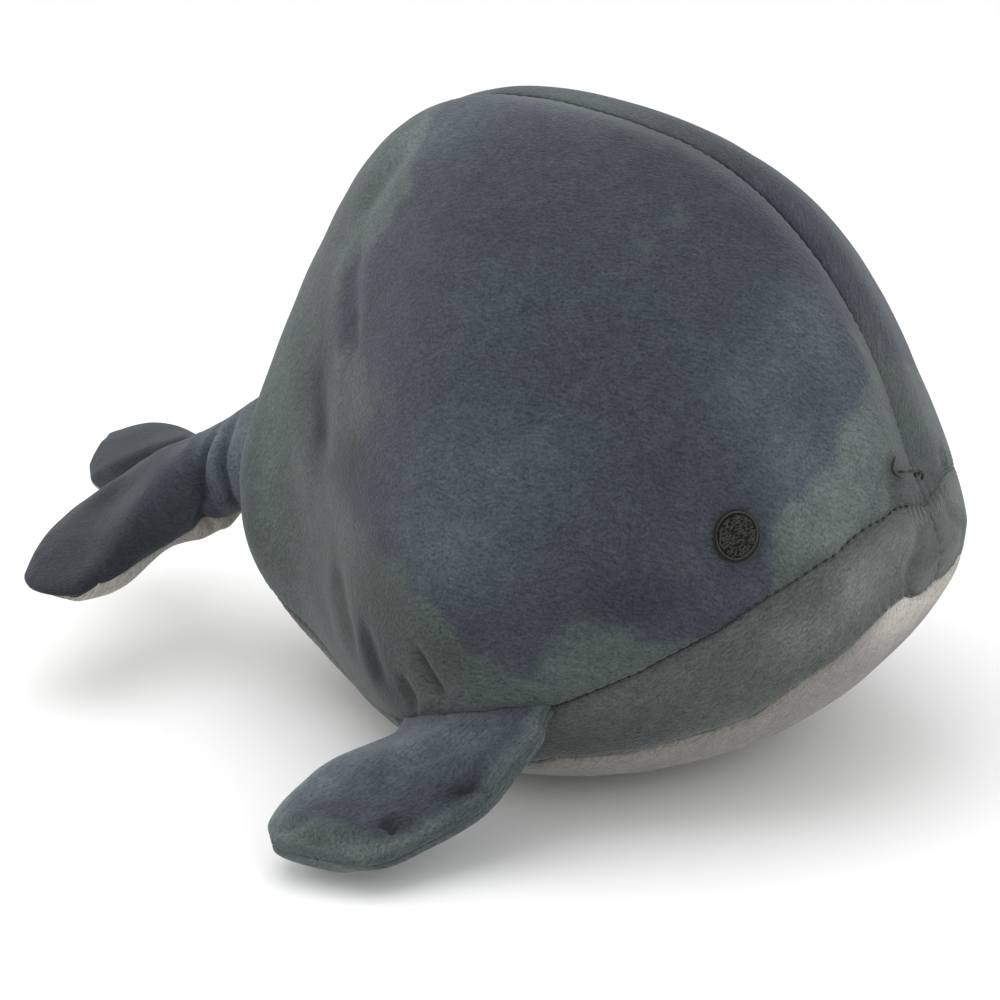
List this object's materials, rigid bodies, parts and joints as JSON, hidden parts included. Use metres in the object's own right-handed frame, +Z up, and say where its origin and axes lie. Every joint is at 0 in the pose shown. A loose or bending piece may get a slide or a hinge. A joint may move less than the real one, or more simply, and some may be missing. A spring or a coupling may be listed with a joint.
{
  "type": "plush whale",
  "caption": "Stuffed plush whale with slate-blue sides, a pale belly, embroidered eyes, side flippers and a fluked tail on soft sewn roots.",
  "frame": {"origin": "on the floor, in the flat patch of the belly that the toy rests on", "axes": "+X from tail to nose, +Y to the whale's left, +Z up"},
  "size_m": [0.3455, 0.3166, 0.2086],
  "materials": {
    "slate_plush": "short brushed pile",
    "jaw_plush": "short brushed pile",
    "pale_plush": "short brushed pile",
    "stuffing": "loose white fibre",
    "eye_thread": "close satin stitches",
    "black_thread": "twisted sewing thread"
  },
  "bodies": {
    "torso": {"body_filling": "stuffing", "side_panel_right": "slate_plush", "side_panel_left": "slate_plush", "jaw_panel_right": "jaw_plush", "jaw_panel_left": "jaw_plush", "belly_panel": "pale_plush", "eye_right": "eye_thread", "eye_left": "eye_thread", "nose_thread": "black_thread"},
    "flipper_right": {"flipper_right_upper": "slate_plush", "flipper_right_lower": "slate_plush", "flipper_right_filling": "stuffing"},
    "flipper_left": {"flipper_left_upper": "slate_plush", "flipper_left_lower": "slate_plush", "flipper_left_filling": "stuffing"},
    "tail_root": {"tail_cuff": "slate_plush", "tail_root_wad": "stuffing"},
    "tail": {"tail_upper_panel": "slate_plush", "tail_lower_panel": "pale_plush", "tail_filling": "stuffing"}
  },
  "joints": [
    {"name": "flipper_right_lift", "type": "hinge", "parent": "torso", "child": "flipper_right", "pos_m": [0.01047, -0.11104, 0.03791], "axis": [-0.9658, -0.0169, -0.2588], "range_deg": [-10, 60], "stiffness_Nm_per_rad": 0.06},
    {"name": "flipper_left_lift", "type": "hinge", "parent": "torso", "child": "flipper_left", "pos_m": [0.01047, 0.11104, 0.03791], "axis": [0.9658, -0.0169, 0.2588], "range_deg": [-10, 60], "stiffness_Nm_per_rad": 0.06},
    {"name": "tail_sway", "type": "hinge", "parent": "torso", "child": "tail_root", "pos_m": [-0.119, 0, 0.07715], "axis": [0, 0, 1], "range_deg": [-38, 5], "stiffness_Nm_per_rad": 0.6},
    {"name": "tail_lift", "type": "hinge", "parent": "tail_root", "child": "tail", "pos_m": [-0.12585, -0.00256, 0.0739], "axis": [-0.3502, 0.9367, 0], "range_deg": [-12, 25], "stiffness_Nm_per_rad": 0.6}
  ]
}
